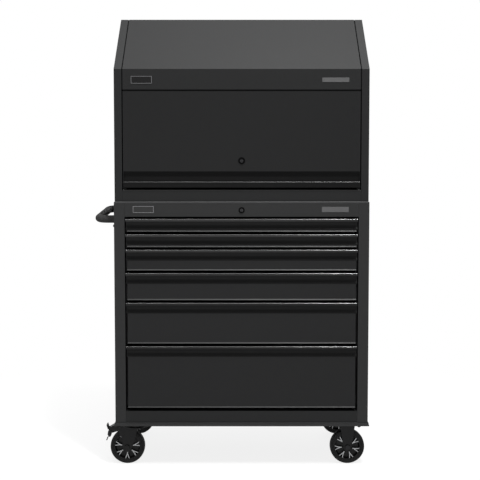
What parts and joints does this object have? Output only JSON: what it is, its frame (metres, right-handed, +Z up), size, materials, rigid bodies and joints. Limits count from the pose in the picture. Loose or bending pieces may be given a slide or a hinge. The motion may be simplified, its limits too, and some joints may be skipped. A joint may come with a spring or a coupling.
{
  "type": "tool chest and rolling cabinet",
  "caption": "Tall sheet-steel rolling tool cabinet with full-width drawer pulls, side handle and casters, carrying a top chest with a lift-up door and sloped front.",
  "frame": {"origin": "middle of the footprint, on the floor that the casters stand on", "axes": "+Z up, the drawers and the door face -Y, the side handle is on the -X side"},
  "size_m": [1.0002, 0.4728, 1.6478],
  "materials": {
    "case_paint": "charcoal powder coat, fine matte texture",
    "drawer_paint": "black powder coat, fine matte texture",
    "black_anodised": "black anodised, satin gloss",
    "black_steel": "black paint, semi-gloss",
    "zinc_steel": "zinc plated",
    "lock_steel": "polished",
    "tyre_rubber": "smooth black rubber",
    "wheel_rim": "moulded, silver-grey spokes"
  },
  "bodies": {
    "root": {"cabinet_left_side": "case_paint", "cabinet_right_side": "case_paint", "cabinet_top_panel": "case_paint", "cabinet_header_rail": "case_paint", "cabinet_back_panel": "case_paint", "cabinet_base_pan": "case_paint", "left_runner_rack": "zinc_steel", "right_runner_rack": "zinc_steel", "side_handle": "black_steel", "cabinet_lock_housing": "black_steel", "hutch_left_side": "case_paint", "hutch_right_side": "case_paint", "hutch_roof": "case_paint", "hutch_back_panel": "case_paint", "hutch_floor_pan": "case_paint", "hinge_fixed_leaf": "black_steel", "hinge_pin": "zinc_steel", "front_left_swivel_plate": "black_steel", "rear_left_swivel_plate": "black_steel", "front_right_fork": "black_steel", "front_right_axle": "black_steel", "rear_right_fork": "black_steel", "rear_right_axle": "black_steel"},
    "drawer_1": {"drawer_1_tray": "drawer_paint", "drawer_1_pull": "black_anodised"},
    "drawer_2": {"drawer_2_tray": "drawer_paint", "drawer_2_pull": "black_anodised"},
    "drawer_3": {"drawer_3_tray": "drawer_paint", "drawer_3_pull": "black_anodised"},
    "drawer_4": {"drawer_4_tray": "drawer_paint", "drawer_4_pull": "black_anodised"},
    "drawer_5": {"drawer_5_tray": "drawer_paint", "drawer_5_pull": "black_anodised"},
    "drawer_6": {"drawer_6_tray": "drawer_paint", "drawer_6_pull": "black_anodised"},
    "cabinet_lock": {"cabinet_lock_barrel": "lock_steel"},
    "door": {"hutch_door": "case_paint", "hutch_door_pull": "black_anodised", "hinge_moving_leaf": "black_steel", "door_lock_housing": "black_steel"},
    "door_lock": {"door_lock_barrel": "lock_steel"},
    "left_strut": {"left_strut_cylinder": "black_steel"},
    "left_strut_piston": {"left_strut_rod": "lock_steel"},
    "right_strut": {"right_strut_cylinder": "black_steel"},
    "right_strut_piston": {"right_strut_rod": "lock_steel"},
    "front_left_caster": {"front_left_fork": "black_steel", "front_left_axle": "black_steel"},
    "rear_left_caster": {"rear_left_fork": "black_steel", "rear_left_axle": "black_steel"},
    "front_left_pedal": {"front_left_brake": "black_steel"},
    "rear_left_pedal": {"rear_left_brake": "black_steel"},
    "front_left_wheel": {"front_left_tyre": "tyre_rubber", "front_left_rim": "wheel_rim"},
    "rear_left_wheel": {"rear_left_tyre": "tyre_rubber", "rear_left_rim": "wheel_rim"},
    "front_right_wheel": {"front_right_tyre": "tyre_rubber", "front_right_rim": "wheel_rim"},
    "rear_right_wheel": {"rear_right_tyre": "tyre_rubber", "rear_right_rim": "wheel_rim"}
  },
  "joints": [
    {"name": "drawer_1_slide", "type": "slide", "parent": "root", "child": "drawer_1", "axis": [0, -1, 0], "range_m": [0, 0.37]},
    {"name": "drawer_2_slide", "type": "slide", "parent": "root", "child": "drawer_2", "axis": [0, -1, 0], "range_m": [0, 0.37]},
    {"name": "drawer_3_slide", "type": "slide", "parent": "root", "child": "drawer_3", "axis": [0, -1, 0], "range_m": [0, 0.37]},
    {"name": "drawer_4_slide", "type": "slide", "parent": "root", "child": "drawer_4", "axis": [0, -1, 0], "range_m": [0, 0.37]},
    {"name": "drawer_5_slide", "type": "slide", "parent": "root", "child": "drawer_5", "axis": [0, -1, 0], "range_m": [0, 0.37]},
    {"name": "drawer_6_slide", "type": "slide", "parent": "root", "child": "drawer_6", "axis": [0, -1, 0], "range_m": [0, 0.37]},
    {"name": "cabinet_lock_turn", "type": "hinge", "parent": "root", "child": "cabinet_lock", "pos_m": [0.04084, -0.2254, 0.938], "axis": [0, 1, 0], "range_deg": [0, 90]},
    {"name": "door_hinge", "type": "hinge", "parent": "root", "child": "door", "pos_m": [0.04084, -0.2164, 1.36555], "axis": [-1, 0, 0], "range_deg": [0, 95]},
    {"name": "door_lock_turn", "type": "hinge", "parent": "door", "child": "door_lock", "pos_m": [0.04084, -0.2174, 1.1148], "axis": [0, 1, 0], "range_deg": [0, 90]},
    {"name": "left_strut_pivot", "type": "hinge", "parent": "root", "child": "left_strut", "pos_m": [-0.36616, 0.0086, 1.30355], "axis": [-1, 0, 0], "range_deg": [0, 5]},
    {"name": "left_strut_stroke", "type": "slide", "parent": "left_strut", "child": "left_strut_piston", "axis": [0, -1, 0.0054], "range_m": [0, 0.107]},
    {"name": "right_strut_pivot", "type": "hinge", "parent": "root", "child": "right_strut", "pos_m": [0.44784, 0.0086, 1.30355], "axis": [-1, 0, 0], "range_deg": [0, 5]},
    {"name": "right_strut_stroke", "type": "slide", "parent": "right_strut", "child": "right_strut_piston", "axis": [0, -1, 0.0054], "range_m": [0, 0.107]},
    {"name": "front_left_swivel", "type": "hinge", "parent": "root", "child": "front_left_caster", "pos_m": [-0.34866, -0.1684, 0.14], "axis": [0, 0, 1], "continuous": true},
    {"name": "rear_left_swivel", "type": "hinge", "parent": "root", "child": "rear_left_caster", "pos_m": [-0.34866, 0.1776, 0.14], "axis": [0, 0, 1], "continuous": true},
    {"name": "front_left_brake_press", "type": "hinge", "parent": "front_left_caster", "child": "front_left_pedal", "pos_m": [-0.40866, -0.1684, 0.13], "axis": [0, -1, 0], "range_deg": [0, 15]},
    {"name": "rear_left_brake_press", "type": "hinge", "parent": "rear_left_caster", "child": "rear_left_pedal", "pos_m": [-0.40866, 0.1776, 0.13], "axis": [0, -1, 0], "range_deg": [0, 15]},
    {"name": "front_left_roll", "type": "hinge", "parent": "front_left_caster", "child": "front_left_wheel", "pos_m": [-0.37966, -0.1684, 0.0635], "axis": [0, 1, 0], "continuous": true},
    {"name": "rear_left_roll", "type": "hinge", "parent": "rear_left_caster", "child": "rear_left_wheel", "pos_m": [-0.37966, 0.1776, 0.0635], "axis": [0, 1, 0], "continuous": true},
    {"name": "front_right_roll", "type": "hinge", "parent": "root", "child": "front_right_wheel", "pos_m": [0.43034, -0.1684, 0.0635], "axis": [0, 1, 0], "continuous": true},
    {"name": "rear_right_roll", "type": "hinge", "parent": "root", "child": "rear_right_wheel", "pos_m": [0.43034, 0.1776, 0.0635], "axis": [0, 1, 0], "continuous": true}
  ],
  "couplings": [
    {"joint": "left_strut_pivot", "follows": "door_hinge", "ratio": 0.05175},
    {"joint": "left_strut_stroke", "follows": "door_hinge", "m_per_rad": 0.06426},
    {"joint": "right_strut_pivot", "follows": "door_hinge", "ratio": 0.05175},
    {"joint": "right_strut_stroke", "follows": "door_hinge", "m_per_rad": 0.06426}
  ]
}
